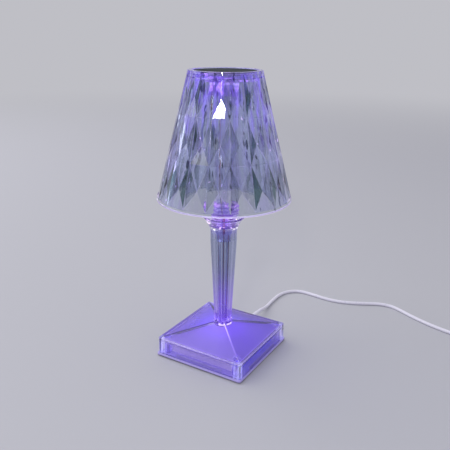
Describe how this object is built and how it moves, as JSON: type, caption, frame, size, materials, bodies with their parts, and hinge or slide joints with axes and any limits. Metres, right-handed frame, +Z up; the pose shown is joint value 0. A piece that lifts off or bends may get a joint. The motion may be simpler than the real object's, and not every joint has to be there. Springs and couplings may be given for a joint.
{
  "type": "table lamp",
  "caption": "Clear table lamp with a faceted conical shade on a fluted stem, a square hipped base and a plug-in charging lead.",
  "frame": {"origin": "on the table under the lamp's axis, at the centre of the square base", "axes": "+Z up along the lamp's axis, -Y to the front of the base, +Y to its charging socket"},
  "size_m": [0.318, 0.2314, 0.26],
  "materials": {
    "clear_shade": "clear, polished",
    "clear_moulding": "clear, polished",
    "frosted": "frosted",
    "pearl": "satin white",
    "plate_metal": "dark satin",
    "board_white": "solder mask",
    "board_green": "solder mask",
    "chip_yellow": "phosphor",
    "black_plastic": "matt",
    "steel": "plated",
    "steel_plate": "zinc plated",
    "battery_foil": "foil pouch",
    "wire_skin": "smooth",
    "rubber": "matt",
    "white_pvc": "smooth"
  },
  "bodies": {
    "lamp": {"touch_plate": "plate_metal", "head_tray": "frosted", "light_board": "board_white", "light_chip": "chip_yellow", "lens": "clear_moulding", "touch_spring": "steel", "touch_chip": "black_plastic", "head_screws": "steel", "column": "clear_moulding", "ferrule": "clear_moulding", "cup": "clear_moulding", "stem": "clear_moulding", "hollow_screw": "steel", "washer": "steel", "foot_nut": "steel", "wire_loom": "wire_skin", "base_cover": "clear_moulding", "base_liner": "pearl", "base_plate": "pearl", "base_screws": "steel", "rubber_feet": "rubber", "counterweight": "steel_plate", "battery": "battery_foil", "control_board": "board_green", "charge_chips": "black_plastic", "board_screws": "steel", "charge_socket": "steel", "switch_body": "steel"},
    "lift_off_shade": {"shade": "clear_shade"},
    "switch": {"switch_knob": "black_plastic"},
    "charging_lead": {"plug_shell": "steel", "plug_body": "white_pvc", "strain_relief": "white_pvc", "lead_run": "white_pvc", "lead_coil": "white_pvc", "lead_tail": "white_pvc", "far_relief": "white_pvc", "far_plug_body": "white_pvc", "far_plug_shell": "steel"}
  },
  "joints": [
    {"name": "shade_lift", "type": "slide", "parent": "lamp", "child": "lift_off_shade", "axis": [0, 0, 1], "range_m": [0, 0.112]},
    {"name": "switch_slide", "type": "slide", "parent": "lamp", "child": "switch", "axis": [1, 0, 0], "range_m": [0, 0.003]},
    {"name": "plug_pull", "type": "slide", "parent": "lamp", "child": "charging_lead", "axis": [0, 1, 0], "range_m": [0, 0.012]}
  ]
}
